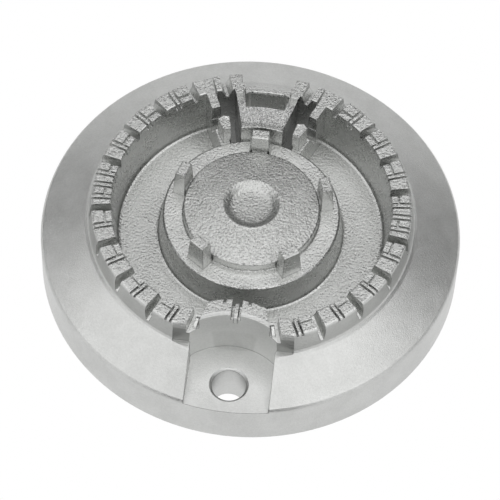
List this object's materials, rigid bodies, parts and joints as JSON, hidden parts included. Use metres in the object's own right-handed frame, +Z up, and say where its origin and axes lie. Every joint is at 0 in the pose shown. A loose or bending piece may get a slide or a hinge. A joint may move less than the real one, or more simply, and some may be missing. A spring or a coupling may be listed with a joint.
{
  "type": "gas burner head",
  "caption": "Round cast aluminium gas burner head with a ported crown, a deep gas trough, a raised centre disc with cap lugs, an igniter notch in front and a bridge at the back.",
  "frame": {"origin": "centre of the rim's bottom edge, on the head's axis", "axes": "+Z up, from the rim towards the crown; -Y towards the igniter hole; +X to the right, seen from the igniter hole"},
  "size_m": [0.1, 0.1, 0.0268],
  "materials": {
    "cast_aluminium": "die cast and fine shot-blasted, silver-grey"
  },
  "bodies": {
    "root": {"burner_head": "cast_aluminium"}
  },
  "joints": []
}
